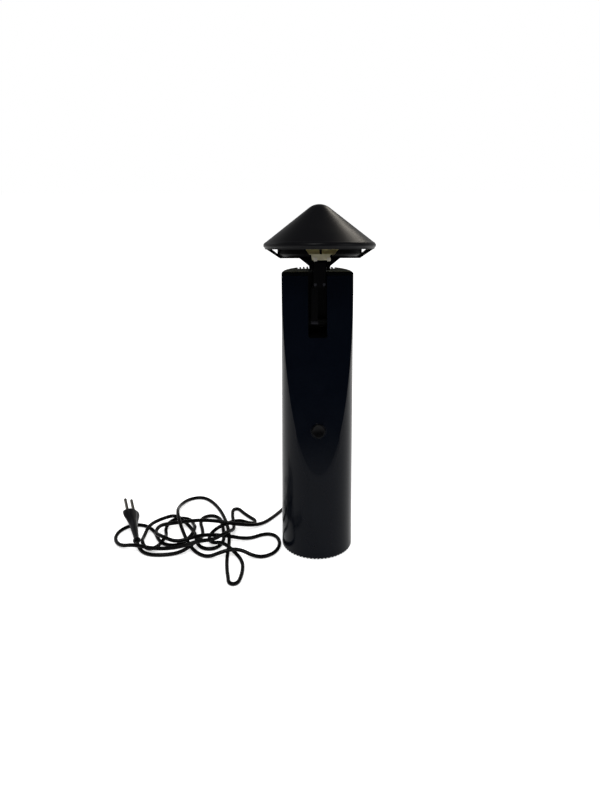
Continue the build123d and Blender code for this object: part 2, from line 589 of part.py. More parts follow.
def lamp_parts():
    """The two stiff leads from the strap up to the holder, and the capsule that hangs from it."""
    front = V_BACK_Y - LINER_T - 0.3
    add("lead_rods", *[HEAD * Pos(x, y, 0) * disc(ROD_R, -14.2, HOLDER_LOW) for x, y in ROD_AT])
    add("lamp_terminals", *[
        HEAD * block(x - 1.9, x + 1.9, front - 1.6, front, TERMINAL_LOW, TERMINAL_HIGH)
        for x in TERMINAL_AT
    ])

    pin_x = (-2, 2)
    holder = disc(HOLDER_R, HOLDER_LOW, HOLDER_LOW + HOLDER_H)
    holder = fillet(holder.edges().group_by(Axis.Z)[0], 1.5)
    add("lamp_holder", HEAD * (holder - [Pos(x, 0, 0) * disc(0.5, 0, HOLDER_LOW + 5.5) for x in pin_x]))

    ball_z, inner_r = CAPSULE_LOW + CAPSULE_R, CAPSULE_R - 0.8
    glass = disc(CAPSULE_R, ball_z, CAPSULE_HIGH) + Pos(0, 0, ball_z) * Sphere(CAPSULE_R)
    hollow = disc(inner_r, ball_z, CAPSULE_HIGH - 6) + Pos(0, 0, ball_z) * Sphere(inner_r)
    pins = [Pos(x, 0, 0) * disc(0.5, CAPSULE_HIGH - 8, HOLDER_LOW + 5.5) for x in pin_x]
    legs = [Pos(x, 0, 0) * disc(0.3, ball_z + 2, CAPSULE_HIGH - 7) for x in pin_x]
    add("capsule_glass", HEAD * (glass - hollow - pins))
    add("capsule_filament", HEAD * (rod_x(0.9, -2.5, 2.5, 0, ball_z + 2) + pins + legs))


# ---- mains lead

def corner_radii(points):
    """The largest arc that each corner's two runs allow."""
    radii = []
    for before, corner, after in zip(points, points[1:], points[2:]):
        first, second = Vector(*corner) - Vector(*before), Vector(*after) - Vector(*corner)
        half_turn = radians(first.get_angle(second)) / 2
        radii.append(0.45 * min(first.length, second.length) * cos(half_turn) / sin(half_turn))
    return radii


def power_cord():
    radii = corner_radii(ROUTE)
    path = FilletPolyline(*ROUTE, radius=radii)
    tube = sweep(Plane(origin=path @ 0, z_dir=path % 0) * Circle(CORD_R), path=path)
    expected = pi * CORD_R ** 2 * path.length
    print(f"cord {path.length:.0f} mm, volume {tube.volume / expected:.4f} of section times length")
    print("corner radii", " ".join(f"{r:.1f}" for r in radii))
    add("power_cord", tube)


def cord_entry():
    """Grommet in the tube's rear wall, the flex inside it, and the anchor that holds it."""
    z, wall = CORD_EXIT_Z, BODY_R - BODY_WALL
    profile = [
        (0, wall - 2.2), (6.6, wall - 2.2), (6.6, wall), (5.0, wall), (5.0, BODY_R + 0.3),
        (6.4, BODY_R + 0.3), (6.0, BODY_R + 3), (3.2, GROMMET_END_Y), (0, GROMMET_END_Y),
    ]
    solid = Pos(0, 0, z) * Rot(-90, 0, 0) * turned(profile)
    inside = disc(wall, 0, FAR) & block(-9, 9, 0, FAR, BASE_H, 30)
    outside = block(-9, 9, BODY_R - 4, FAR, 0, 30) - disc(BODY_R, 0, FAR)
    neck = rod_y(5.0, 30, BODY_R + 1, 0, z)
    grommet = (solid & inside) + (solid & outside) + (solid & neck)
    add("cord_grommet", grommet - rod_y(CORD_R, 0, FAR, 0, z))
    add("inner_cord", rod_y(CORD_R, ANCHOR_Y, GROMMET_END_Y, 0, z))

    anchor = block(-8, 8, ANCHOR_Y + 0.5, 33, FLOOR_Z, z)
    clamp = block(-8, 8, ANCHOR_Y + 0.5, 33, z + 0.4, z + 5)
    hole = rod_y(CORD_R, 0, FAR, 0, z)
    screws = [Pos(x, 29.8, z - 5) * Cylinder(1.2, 10, align=FROM_BELOW) for x in (-5.4, 5.4)]
    heads = [Pos(x, 29.8, z + 5) * Cylinder(2.1, 1.5, align=FROM_BELOW) for x in (-5.4, 5.4)]
    add("cord_anchor", anchor - hole - screws)
    add("anchor_clamp", clamp - hole - screws)
    add("anchor_screws", *[shank + head for shank, head in zip(screws, heads)])


def ellipse_at(height, wide, thick):
    return Pos(0, 0, height) * Ellipse(wide, thick)


def plug_parts():
    sleeve = turned([
        (0, 0), (4.6, 0), (4.5, 1.8), (2.9, 3.2), (3.0, 6.0), (4.0, SLEEVE_LEN), (0, SLEEVE_LEN),
    ])
    add("plug_sleeve", PLUG * sleeve)
    body = loft([
        ellipse_at(SLEEVE_LEN, 4.5, 4.2),
        ellipse_at(SLEEVE_LEN + 10, 5.7, 4.6),
        ellipse_at(SLEEVE_LEN + 20, 8.1, 5.2),
        ellipse_at(PLUG_LEN - 4, PLUG_WIDE, PLUG_THICK),
        ellipse_at(PLUG_LEN, PLUG_WIDE - 1.2, PLUG_THICK - 0.9),
    ])
    pin = disc(PLUG_PIN_R, PLUG_LEN - 8, PLUG_LEN + PLUG_PIN_LEN)
    pin = fillet(pin.edges().group_by(Axis.Z)[-1], 1.2)
    pins = [Pos(side * PIN_GAP / 2, 0, 0) * pin for side in (-1, 1)]
    add("plug_body", PLUG * (body - pins))
    add("plug_pins", *[PLUG * p for p in pins])


body_shell()
front_panel()
top_cap()
bottom()
slot_well()
arm_stop_pad()
transformer()
wiring()
switch_parts()
pivot_parts()
arm_parts()
shade_hat()
hat_liner()
lamp_pan()
pan_reflector()
yoke_strap()
tilt_fork()
lamp_parts()
cord_entry()
power_cord()
plug_parts()

os.makedirs("parts", exist_ok=True)
for node, shape in nodes.items():
    export_step(shape, f"parts/{node}.step")
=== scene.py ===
# %% [markdown]
# # A black table lamp with a folding arm
#
# The lamp is a gloss black tube with an oblique face. An arm stands in a slot at its top and
# carries a conical hat, and under the hat hangs a dish with the bulb's light in it. A thin
# flex leaves the back of the tube and lies in loose loops on the table.
#
# The solid model already has every piece at its real size. This script gives each of them its
# finish, lays the flex as a smooth curve, and models the pieces whose looks need more than
# the solids hold.

# %% Load the solid model
import math

import bmesh
import bpy
from mathutils import Matrix, Vector


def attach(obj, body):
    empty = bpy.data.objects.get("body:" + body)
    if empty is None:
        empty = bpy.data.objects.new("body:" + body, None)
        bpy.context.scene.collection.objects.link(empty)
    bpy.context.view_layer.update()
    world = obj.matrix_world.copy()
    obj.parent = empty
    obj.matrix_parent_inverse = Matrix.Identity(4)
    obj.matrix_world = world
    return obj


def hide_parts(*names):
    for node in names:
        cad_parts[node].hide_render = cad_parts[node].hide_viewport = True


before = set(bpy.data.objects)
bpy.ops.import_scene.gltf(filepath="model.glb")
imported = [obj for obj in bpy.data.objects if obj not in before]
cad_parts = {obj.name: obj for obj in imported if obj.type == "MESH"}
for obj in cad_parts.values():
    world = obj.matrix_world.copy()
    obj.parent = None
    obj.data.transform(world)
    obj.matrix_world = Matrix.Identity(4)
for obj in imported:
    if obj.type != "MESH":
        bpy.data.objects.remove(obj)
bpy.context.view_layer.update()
MM = 0.001

# %% [markdown]
# ## Camera
#
# A camera that looks slightly down on the lamp from its front. The lens is given by its focal
# length in pixels of a frame that is 600 wide and 800 high. Shifting the lens moves the lamp
# down in the frame, and the tube's sides stay upright, as they would not if the camera tilted.

# %% Camera
FRAME_HEIGHT_PX = 800
FOCAL_PX = 731.9
AXIS_ROW_PX = 240
SENSOR_MM = 36
CAMERA_MM = (-41.78, -800.85, 459.1)
LOOK_DOWN = math.radians(7.48)
LOOK_RIGHT = math.radians(1.6)

lens = bpy.data.cameras.new("camera")
lens.sensor_fit = "VERTICAL"
lens.sensor_height = SENSOR_MM
lens.lens = SENSOR_MM * FOCAL_PX / FRAME_HEIGHT_PX
lens.shift_y = (AXIS_ROW_PX - FRAME_HEIGHT_PX / 2) / FRAME_HEIGHT_PX
lens.clip_start = 0.01
camera = bpy.data.objects.new("camera", lens)
bpy.context.collection.objects.link(camera)
camera.location = Vector(CAMERA_MM) * MM
camera.rotation_euler = (math.pi / 2 - LOOK_DOWN, 0, -LOOK_RIGHT)
bpy.context.scene.camera = camera
print("camera:", [round(v, 3) for v in camera.location], "lens:", round(lens.lens, 1), "mm")

# %% [markdown]
# ## The flex
#
# A limp two-core flex is a tube that bends wherever it is pushed. One smooth spline drawn
# through its loops is the natural form: a quadratic NURBS turns softly inside its control
# points, so the points below are the corners of its route, in millimetres. It starts at the
# strain relief behind the tube, makes wide loops and a tangle, and ends in the plug's tail.

# %% Route of the flex
FLEX_D = 4.2
FLEX_ROUTE = [
    (0, 62, 12), (0, 80, 12), (0, 98, 5), (-9, 108, 2.1), (-22, 108, 2.1), (-31, 98, 2.1),
    (-33, 82, 2.1), (-49, 54, 2.1), (-66, 33, 2.1), (-92, 22, 9), (-120, 25, 13), (-146, 34, 9),
    (-170, 35, 5), (-186, 24, 9), (-189, 7, 8), (-178, -8, 12.5), (-160, -15, 8.5),
    (-134, -7, 13.5), (-106, 0, 8), (-80, 1, 2.1), (-60, 14, 2.1), (-46, 8, 2.1), (-42, -12, 2.1),
    (-50, -31, 2.1), (-68, -38, 2.1), (-90, -29, 9), (-108, -31, 6), (-124, -36, 2.1),
    (-141, -22, 2.1), (-155, 9, 3), (-168, 42, 14.5), (-170, 78, 5), (-160, 102, 2.1),
    (-140, 106, 2.1), (-121, 80, 2.1), (-107, 40, 2.1), (-101, 0, 2.1), (-102, -38, 2.1),
    (-100, -62, 2.1), (-98, -74, 2.1), (-97, -83, 2.1), (-92.5, -86.5, 2.1), (-87.5, -84.5, 2.1),
    (-85, -77, 2.1), (-83, -62, 2.1), (-84, -45, 2.1), (-92, -28, 2.1), (-107, -18, 10),
    (-122, -9, 4), (-127, 8, 2.1), (-117, 23, 6), (-94, 33, 9.5), (-81, 35, 4), (-74, 37, 2.1),
    (-72.5, 44, 2.1), (-80, 52, 2.1), (-89, 64, 2.1), (-95, 74, 2.1), (-101.9, 72.1, 2.1),
    (-102, 60, 2.1), (-99, 38, 2.1), (-97, 16, 6), (-104, -2, 13.5), (-118, -14, 11),
    (-136, -20, 13), (-160, -24, 7), (-186, -22, 5.5), (-208, -17, 8), (-226, -10, 2.5),
    (-236, 6, 2.1), (-234, 25, 2.1), (-221, 38, 2.1), (-204, 36, 2.1), (-191, 21, 2.1),
    (-184, 2, 2.1), (-174, -9, 2.1), (-157, -11, 3), (-145, -2, 9.5), (-143, 16, 9.5),
    (-146, 34, 2.5), (-152, 49, 2.1), (-166, 53, 2.1), (-177, 45, 2.1), (-180, 28, 2.1),
    (-176, 12, 2.1), (-176, -5, 8), (-182, -16, 4), (-194, -18, 2.1), (-201.5, -9, 7.5),
    (-202, 8, 3), (-199, 26, 8), (-187, 44, 6), (-170, 51, 7.5), (-154, 37, 2.1),
    (-142, 14, 2.1), (-139, -6, 2.1), (-130, -18, 2.1), (-116, -18, 2.1), (-108, -5, 2.1),
    (-109, 14, 2.1), (-112, 34, 2.1), (-116, 50, 2.1), (-126, 58, 2.1), (-137, 54, 2.1),
    (-140, 42, 2.1), (-135, 24, 2.1), (-133, 6, 3.5), (-138, -14, 9.5), (-154, -26, 2.5),
    (-176, -30, 2.1), (-194, -27, 2.1), (-204, -15, 2.8), (-207.8, -3.5, 4.7),
]

# %% Flex as one spline
flex_curve = bpy.data.curves.new("mains_flex", "CURVE")
flex_curve.dimensions = "3D"
flex_curve.bevel_depth = 1.0         # times each point's radius, which is the flex's own
flex_curve.bevel_resolution = 4
flex_curve.use_fill_caps = True
flex_line = flex_curve.splines.new("NURBS")
flex_line.points.add(len(FLEX_ROUTE) - 1)
for control, corner in zip(flex_line.points, FLEX_ROUTE):
    control.co = (*(Vector(corner) * MM), 1)
    control.radius = FLEX_D / 2 * MM
flex_line.order_u = 3
flex_line.use_endpoint_u = True
flex_line.resolution_u = 8
mains_flex = bpy.data.objects.new("mains_flex", flex_curve)
bpy.context.collection.objects.link(mains_flex)
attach(mains_flex, "stand")
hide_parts("power_cord")
print("flex:", len(FLEX_ROUTE), "corners,", FLEX_D, "mm thick")

# %% [markdown]
# ## Studio
#
# A gloss black lamp shows the room more than itself, so the room is drawn with care. The table
# and the air around it are white to the eye, but dimmer to whatever mirrors them, and the room
# gets darker overhead. A black card stands far in front: the oblique face and the tube mirror
# that card, which gives them their depth. One lamp from behind on the right draws the streak on
# the hat, and a small one high in front lights the lid. Nothing here is part of the lamp.

# %% Helpers for colours and nodes
def srgb(code):
    """The linear colour, with alpha, of a hex code such as #1a2b3c."""
    channels = [int(code[i:i + 2], 16) / 255 for i in (1, 3, 5)]
    return (*[c / 12.92 if c <= 0.04045 else ((c + 0.055) / 1.055) ** 2.4 for c in channels], 1)


def add_node(tree, kind, inputs=None, **settings):
    """Add a node. Each input is named or numbered and holds a value or another node's socket."""
    made = tree.nodes.new(kind)
    for name, value in settings.items():
        setattr(made, name, value)
    for name, value in (inputs or {}).items():
        if isinstance(value, bpy.types.NodeSocket):
            tree.links.new(value, made.inputs[name])
        else:
            made.inputs[name].default_value = value
    return made


# %% World: white to the eye, dim as a lamp, and darker overhead in reflections
AIR_LIGHT = 0.5
HORIZON, ZENITH = 0.40, 0.10            # how bright the room is in reflections, low and overhead
FADE_FROM, FADE_TO = 0.1, 0.6            # the sine of the height at which it starts and ends to dim
world = bpy.data.worlds.new("studio")
bpy.context.scene.world = world
world.use_nodes = True
air = world.node_tree
air.nodes.clear()
seen = add_node(air, "ShaderNodeLightPath")
towards = add_node(air, "ShaderNodeSeparateXYZ", {
    0: add_node(air, "ShaderNodeTexCoord").outputs["Generated"]})
room = add_node(air, "ShaderNodeMapRange", {
    "Value": towards.outputs["Z"], "From Min": FADE_FROM, "From Max": FADE_TO,
    "To Min": HORIZON, "To Max": ZENITH}, interpolation_type="SMOOTHSTEP")
lit = add_node(air, "ShaderNodeMix", {
    0: seen.outputs["Is Glossy Ray"], 2: AIR_LIGHT, 3: room.outputs[0]}, data_type="FLOAT")
direct = add_node(air, "ShaderNodeMath", {
    0: seen.outputs["Is Camera Ray"], 1: seen.outputs["Is Transmission Ray"]}, operation="MAXIMUM")
level = add_node(air, "ShaderNodeMix", {0: direct.outputs[0], 2: lit.outputs[0], 3: 1.0}, data_type="FLOAT")
glow = add_node(air, "ShaderNodeBackground", {"Color": srgb("#ffffff"), "Strength": level.outputs[0]})
add_node(air, "ShaderNodeOutputWorld", {"Surface": glow.outputs[0]})
bpy.context.scene.view_settings.view_transform = "Standard"
print("air:", AIR_LIGHT, "as a lamp,", HORIZON, "to", ZENITH, "in reflections")

# %% White paper
PAPER = "#f4f4f4"
PAPER_WHITE = 1.01
MIRRORED_SHARE = 0.25                    # of the lift to white, for what mirrors the table
paper = bpy.data.materials.new("white_paper")
paper.use_nodes = True
sheet = paper.node_tree
sheet.nodes.clear()
seen = add_node(sheet, "ShaderNodeLightPath")
mirrored = add_node(sheet, "ShaderNodeMath", {
    0: seen.outputs["Is Glossy Ray"], 1: MIRRORED_SHARE}, operation="MULTIPLY")
through = add_node(sheet, "ShaderNodeMath", {
    0: seen.outputs["Is Transmission Ray"], 1: mirrored.outputs[0]}, operation="MAXIMUM")
shown = add_node(sheet, "ShaderNodeMath", {
    0: seen.outputs["Is Camera Ray"], 1: through.outputs[0]}, operation="MAXIMUM")
white_level = PAPER_WHITE - srgb(PAPER)[0] * AIR_LIGHT      # what the paper lacks in open air
lift = add_node(sheet, "ShaderNodeMath", {0: shown.outputs[0], 1: white_level}, operation="MULTIPLY")
skin = add_node(sheet, "ShaderNodeBsdfPrincipled", {
    "Base Color": srgb(PAPER), "Roughness": 0.9, "Specular IOR Level": 0.0,
    "Emission Color": srgb("#ffffff"), "Emission Strength": lift.outputs[0]})
add_node(sheet, "ShaderNodeOutputMaterial", {"Surface": skin.outputs[0]})
print("white paper lifted by", round(white_level, 3))


# %% Floor
def room_piece(name, shape, material):
    """Make the bmesh a piece of the room."""
    data = bpy.data.meshes.new(name)
    shape.to_mesh(data)
    shape.free()
    data.materials.append(material)
    piece = bpy.data.objects.new(name, data)
    bpy.context.collection.objects.link(piece)
    return piece


FLOOR_SIZE = 12.0
floor_mesh = bmesh.new()
bmesh.ops.create_grid(floor_mesh, x_segments=1, y_segments=1, size=FLOOR_SIZE / 2)
room_piece("floor", floor_mesh, paper)
print("floor:", FLOOR_SIZE, "m wide")


# %% Lamps
def soft_lamp(name, place, aim, width, height, power):
    """A rectangular lamp at place that faces aim; sizes in metres, power in watts."""
    data = bpy.data.lights.new(name, "AREA")
    data.shape = "RECTANGLE"
    data.size = width
    data.size_y = height
    data.energy = power
    lamp = bpy.data.objects.new(name, data)
    bpy.context.collection.objects.link(lamp)
    lamp.location = place
    lamp.rotation_euler = (Vector(aim) - Vector(place)).to_track_quat("-Z", "Y").to_euler()
    return lamp


MIDDLE = (0, 0, 0.2)
HAT_PLACE = (0.03, -0.03, 0.36)
overhead = soft_lamp("overhead", (0, -0.1, 1.7), MIDDLE, 1.4, 1.4, 12)
overhead.visible_glossy = False
streak = soft_lamp("streak", (0.85, 1.4, 1.47), HAT_PLACE, 0.45, 0.5, 5)
streak.data.color = (1.0, 0.93, 0.82)
soft_lamp("left_back", (-1.3, 1.2, 1.1), HAT_PLACE, 0.9, 0.8, 1.5)
soft_lamp("right_front", (1.2, -0.9, 0.9), MIDDLE, 0.4, 0.6, 3)
soft_lamp("window", (-0.3, -1.0, 1.7), MIDDLE, 0.3, 0.3, 6)
print("lamps:", {lamp.name: lamp.energy for lamp in bpy.data.lights})

# %% Dark card
felt = bpy.data.materials.new("black_felt")
felt.use_nodes = True
nap = felt.node_tree.nodes["Principled BSDF"]
nap.inputs["Base Color"].default_value = srgb("#020202")
nap.inputs["Specular IOR Level"].default_value = 0

CARD_WIDE, CARD_HIGH, CARD_Y = 2.6, 1.6, -1.7
card_mesh = bmesh.new()
bmesh.ops.create_grid(card_mesh, x_segments=1, y_segments=1, size=0.5)
bmesh.ops.scale(card_mesh, vec=(CARD_WIDE, CARD_HIGH, 1), verts=card_mesh.verts)
bmesh.ops.rotate(card_mesh, matrix=Matrix.Rotation(math.radians(90), 3, "X"), verts=card_mesh.verts)
bmesh.ops.translate(card_mesh, vec=(0, CARD_Y, CARD_HIGH / 2 + MM), verts=card_mesh.verts)
card = room_piece("dark_card", card_mesh, felt)
card.visible_camera = card.visible_shadow = card.visible_diffuse = False
print("dark card:", CARD_WIDE, "by", CARD_HIGH, "m")

# %% [markdown]
# ## Finishes
#
# Every finish starts from what the piece is made of and how its surface was made. A pattern is
# sized in millimetres on the piece itself, and noise is never a plain colour: moulded, painted
# and plated skins differ in how they scatter a highlight, so the pattern drives roughness and
# bump more than colour.

# %% Helpers for a finish
def finish_tree(name):
    """A new node material: its tree, its Object coordinates and its shader."""
    material = bpy.data.materials.new(name)
    material.use_nodes = True
    tree = material.node_tree
    tree.nodes.clear()
    place = add_node(tree, "ShaderNodeTexCoord").outputs["Object"]
    shader = add_node(tree, "ShaderNodeBsdfPrincipled")
    add_node(tree, "ShaderNodeOutputMaterial", {"Surface": shader.outputs[0]})
    return material, tree, place, shader


def per_metre(size_mm):
    """The texture scale at which one feature is size_mm wide."""
    return 1 / (size_mm * MM)


def dress(material, *names):
    """Give the named solids this finish."""
    for name in names:
        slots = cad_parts[name].data.materials
        slots.clear()
        slots.append(material)


def grained(name, dark, light, rough, grain_mm, height_mm, patch_mm=30.0, **shader_values):
    """A finish with a fine relief: two close colours in soft patches, roughness from low to high,
    and a bump of the given grain and height."""
    material, tree, place, shader = finish_tree(name)
    patches = add_node(tree, "ShaderNodeTexNoise", {
        "Vector": place, "Scale": per_metre(patch_mm), "Detail": 5, "Roughness": 0.6})
    tone = add_node(tree, "ShaderNodeMix", {
        0: patches.outputs[0], 6: srgb(dark), 7: srgb(light)}, data_type="RGBA")
    matt = add_node(tree, "ShaderNodeMapRange", {
        "Value": patches.outputs[0], "From Min": 0.3, "From Max": 0.7,
        "To Min": rough[0], "To Max": rough[1]})
    grain = add_node(tree, "ShaderNodeTexNoise", {
        "Vector": place, "Scale": per_metre(grain_mm), "Detail": 2})
    relief = add_node(tree, "ShaderNodeBump", {
        "Height": grain.outputs[0], "Distance": height_mm * MM, "Strength": 1.0})
    tree.links.new(tone.outputs[2], shader.inputs["Base Color"])
    tree.links.new(matt.outputs[0], shader.inputs["Roughness"])
    tree.links.new(relief.outputs[0], shader.inputs["Normal"])
    for socket, value in shader_values.items():
        shader.inputs[socket.replace("_", " ")].default_value = value
    return material


# %% [markdown]
# ### Plastics and rubber
#
# The tube and its face are injection-moulded ABS, polished in the mould: nearly black with a
# blue cast, and a reflection that wavers a little. The push button and the lid are the same
# plastic from moulds that were etched, so they are matt. The flex and the plug are soft PVC.
# Rubber scatters what it reflects.

# %% Plastics and rubber
# Polished ABS: a deep black whose reflection is clear but wavers a little.
gloss_abs = grained("gloss_moulded_abs", "#03050b", "#060a12", (0.16, 0.22), 9.0, 0.015,
                    Specular_IOR_Level=0.09)
# Etched ABS: the same black, with a softer highlight.
button_abs = grained("matt_moulded_abs", "#020203", "#040405", (0.3, 0.38), 1.0, 0.02,
                     Specular_IOR_Level=0.12)
# Glass-filled nylon: dull and very dark, as the inside of the slot is.
plain_nylon = grained("black_nylon", "#020202", "#050505", (0.45, 0.6), 1.2, 0.04,
                      Specular_IOR_Level=0.05)
# Moulded rubber: no highlight to speak of.
rubber = grained("black_rubber", "#0b0b0b", "#121212", (0.7, 0.85), 1.5, 0.05, Specular_IOR_Level=0.3)
# Extruded PVC: a thin bright line along the top of each bend.
flex_pvc = grained("flex_pvc", "#020202", "#040404", (0.2, 0.32), 3.0, 0.05, Specular_IOR_Level=0.14)
# Moulded PVC: a broader, softer sheen than the flex has.
plug_pvc = grained("moulded_pvc", "#050508", "#090a0d", (0.3, 0.42), 1.0, 0.03, Specular_IOR_Level=0.25)
# The transformer's bobbin and the terminals: undyed nylon, a warm white with a waxy sheen.
white_nylon = grained("natural_nylon", "#cfccc0", "#dedbd1", (0.4, 0.55), 1.5, 0.03)
# Polyester tape round the windings: yellow and smooth.
tape = grained("polyester_tape", "#c19a2e", "#d0ab42", (0.25, 0.4), 2.0, 0.05)
# Brown PVC on the inner leads.
brown_pvc = grained("brown_wire_pvc", "#3a2013", "#4a2a19", (0.35, 0.5), 2.0, 0.03)

dress(gloss_abs, "body_shell", "base_ring", "front_panel", "button_collar")
dress(button_abs, "push_button")
dress(plain_nylon, "friction_washers", "tilt_washers", "pivot_spacer", "slot_well",
      "transformer_seat", "switch_body", "fuse_holder", "cord_anchor", "anchor_clamp")
dress(rubber, "base_pad", "arm_stop_pad")
dress(flex_pvc, "inner_cord")
dress(white_nylon, "transformer_bobbin", "terminal_block")
dress(tape, "primary_winding", "secondary_winding")
dress(brown_pvc, "mains_leads", "switch_leads", "secondary_leads", "arm_lead")
flex_curve.materials.append(flex_pvc)

# %% The lid's etched top
ETCH_MM, ETCH_DEPTH_MM = 0.9, 0.05


def etched_lid():
    """Gloss plastic whose upward faces are etched and matt, and painted a lighter olive there: a painted
    sheen of the lit top.
    """
    material, tree, place, shader = finish_tree("etched_abs")
    normal = add_node(tree, "ShaderNodeSeparateXYZ", {
        0: add_node(tree, "ShaderNodeTexCoord").outputs["Normal"]})
    upward = add_node(tree, "ShaderNodeMapRange", {
        "Value": normal.outputs["Z"], "From Min": 0.9, "From Max": 0.99, "To Min": 0.0, "To Max": 1.0})
    # painted sheen: the upward faces get a lighter olive colour than the sides, standing for the light on
    # the lid's top
    painted_top_sheen = add_node(tree, "ShaderNodeMix", {
        0: upward.outputs[0], 6: srgb("#050607"), 7: srgb("#45462f")}, data_type="RGBA")
    matt = add_node(tree, "ShaderNodeMapRange", {
        "Value": upward.outputs[0], "From Min": 0.0, "From Max": 1.0, "To Min": 0.14, "To Max": 0.62})
    etch = add_node(tree, "ShaderNodeTexNoise", {
        "Vector": place, "Scale": per_metre(ETCH_MM), "Detail": 2})
    relief = add_node(tree, "ShaderNodeBump", {
        "Height": etch.outputs[0], "Distance": ETCH_DEPTH_MM * MM, "Strength": upward.outputs[0]})
    tree.links.new(painted_top_sheen.outputs[2], shader.inputs["Base Color"])
    tree.links.new(matt.outputs[0], shader.inputs["Roughness"])
    tree.links.new(relief.outputs[0], shader.inputs["Normal"])
    shader.inputs["Specular IOR Level"].default_value = 0.12
    return material


dress(etched_lid(), "top_cap")

# %% [markdown]
# ### Paint, metal, ceramic and glass
#
# The hat is spun sheet with a satin black powder coat, whose fine pimples break the highlight
# into a soft streak. Nickel plate and the zinc on screws are metals, so their colour is in the
# reflection. The lining of the hat and the dish is aluminium with hammered dimples that spread
# the light.

# %% Paint and metals
# Powder coat: fine pimples that spread the streak.
hat_paint = grained("satin_powder_coat", "#07070a", "#0b0b0d", (0.3, 0.38), 1.1, 0.04,
                    Specular_IOR_Level=0.11)
# Stove paint under the hat: flatter and darker, so that the dish stays black.
pan_paint = grained("black_stove_paint", "#020202", "#040404", (0.35, 0.45), 2.0, 0.02,
                    Specular_IOR_Level=0.03)
# Smooth paint on the arm and its strap.
arm_paint = grained("smooth_black_paint", "#010102", "#030304", (0.25, 0.36), 2.0, 0.02,
                    Specular_IOR_Level=0.03)
# Dull nickel on terminals and rivets: a warm pale metal that gathers light from all round.
nickel = grained("nickel_plate", "#cfcabd", "#dedace", (0.5, 0.62), 0.8, 0.01, Metallic=1.0)
# The same plate in a darker tone on the plug's pins.
pin_nickel = grained("darker_pin_nickel", "#6e6b65", "#807c74", (0.22, 0.36), 0.8, 0.01, Metallic=1.0)
# Zinc on screws and clips: cooler and greyer than nickel.
zinc = grained("zinc_plate", "#9a9ca0", "#aeb0b3", (0.3, 0.45), 0.8, 0.02, Metallic=1.0)
# Blackened steel: a faint grey glint in the dark of the slot.
dark_steel = grained("blackened_steel", "#26262a", "#333338", (0.35, 0.5), 0.8, 0.02, Metallic=1.0)
# Varnished laminations: dark and rougher.
core_steel = grained("core_steel", "#3a3c40", "#4a4c50", (0.4, 0.55), 0.5, 0.05, Metallic=1.0)
# Drawn tungsten, as coiled in the bulb.
tungsten = grained("tungsten", "#6a6864", "#7d7b77", (0.4, 0.5), 0.3, 0.02, Metallic=1.0)
# Steatite, the pressed ceramic of a lamp holder: off-white and dry.
steatite = grained("steatite", "#dcd8cc", "#e8e5db", (0.5, 0.65), 0.8, 0.03)

dress(hat_paint, "shade_hat")
dress(pan_paint, "lamp_pan")
dress(arm_paint, "arm_bar", "arm_sleeve", "yoke_strap", "tilt_fork")
dress(nickel, "lamp_terminals", "tilt_pin", "strap_rivets")
dress(pin_nickel, "plug_pins")
dress(zinc, "base_screws", "bracket_screws", "terminal_screws", "anchor_screws", "transformer_bracket",
      "pivot_clips", "button_spring", "switch_lugs")
dress(dark_steel, "lead_rods", "arm_hub", "sleeve_screws", "arm_pivot_pin")
dress(core_steel, "transformer_core")
dress(tungsten, "capsule_filament")
dress(steatite, "lamp_holder")


# %% Hammered aluminium and glass
def hammered_aluminium(dimple_mm=3.2, dimple_depth_mm=0.5, stain_mm=14):
    """Dimpled sheet: each dimple throws its own spark, so the whole looks evenly pale."""
    material, tree, place, shader = finish_tree("hammered_aluminium")
    dimples = add_node(tree, "ShaderNodeTexVoronoi", {
        "Vector": place, "Scale": per_metre(dimple_mm)}, feature="SMOOTH_F1")
    relief = add_node(tree, "ShaderNodeBump", {
        "Height": dimples.outputs["Distance"], "Distance": dimple_depth_mm * MM, "Strength": 0.8})
    stain = add_node(tree, "ShaderNodeTexNoise", {
        "Vector": place, "Scale": per_metre(stain_mm), "Detail": 4})
    # painted reflection: both tones carry a warm yellow that stands for warm light mirrored by the
    # aluminium; the patches between them differ at random
    tone = add_node(tree, "ShaderNodeMix", {
        0: stain.outputs[0], 6: srgb("#c2bd9f"), 7: srgb("#e2ddc6")}, data_type="RGBA")
    tree.links.new(tone.outputs[2], shader.inputs["Base Color"])
    tree.links.new(relief.outputs[0], shader.inputs["Normal"])
    shader.inputs["Metallic"].default_value = 1.0
    shader.inputs["Roughness"].default_value = 0.48
    return material


def clear_glass(name, tint, roughness, haze=0.08, speck_mm=2):
    """Clear glass whose shine is a little uneven, as if handled."""
    material, tree, place, shader = finish_tree(name)
    dust = add_node(tree, "ShaderNodeTexNoise", {
        "Vector": place, "Scale": per_metre(speck_mm), "Detail": 3})
    film = add_node(tree, "ShaderNodeMapRange", {
        "Value": dust.outputs[0], "To Min": roughness, "To Max": roughness + haze})
    tree.links.new(film.outputs[0], shader.inputs["Roughness"])
    shader.inputs["Base Color"].default_value = srgb(tint)
    shader.inputs["Transmission Weight"].default_value = 1.0
    shader.inputs["IOR"].default_value = 1.46
    return material


dress(hammered_aluminium(), "pan_reflector", "hat_liner")
dress(clear_glass("quartz_glass", "#f6f8fa", 0.02), "capsule_glass")
dress(clear_glass("fuse_glass", "#e8efef", 0.05), "fuse")
print("finishes:", sorted(material.name for material in bpy.data.materials))

# %% [markdown]
# ## Eased edges
#
# No moulded, cast or folded edge is razor sharp: a mould is polished, paint draws back from a
# corner and a punch leaves a small radius, and that radius is what catches the light. The solids
# have bare corners, so each piece whose corners show gets a copy with its sharp edges bevelled,
# and the copy stands for the solid. Flat regions are first joined into single faces, because a
# bevel along a fan of thin triangles would tear.

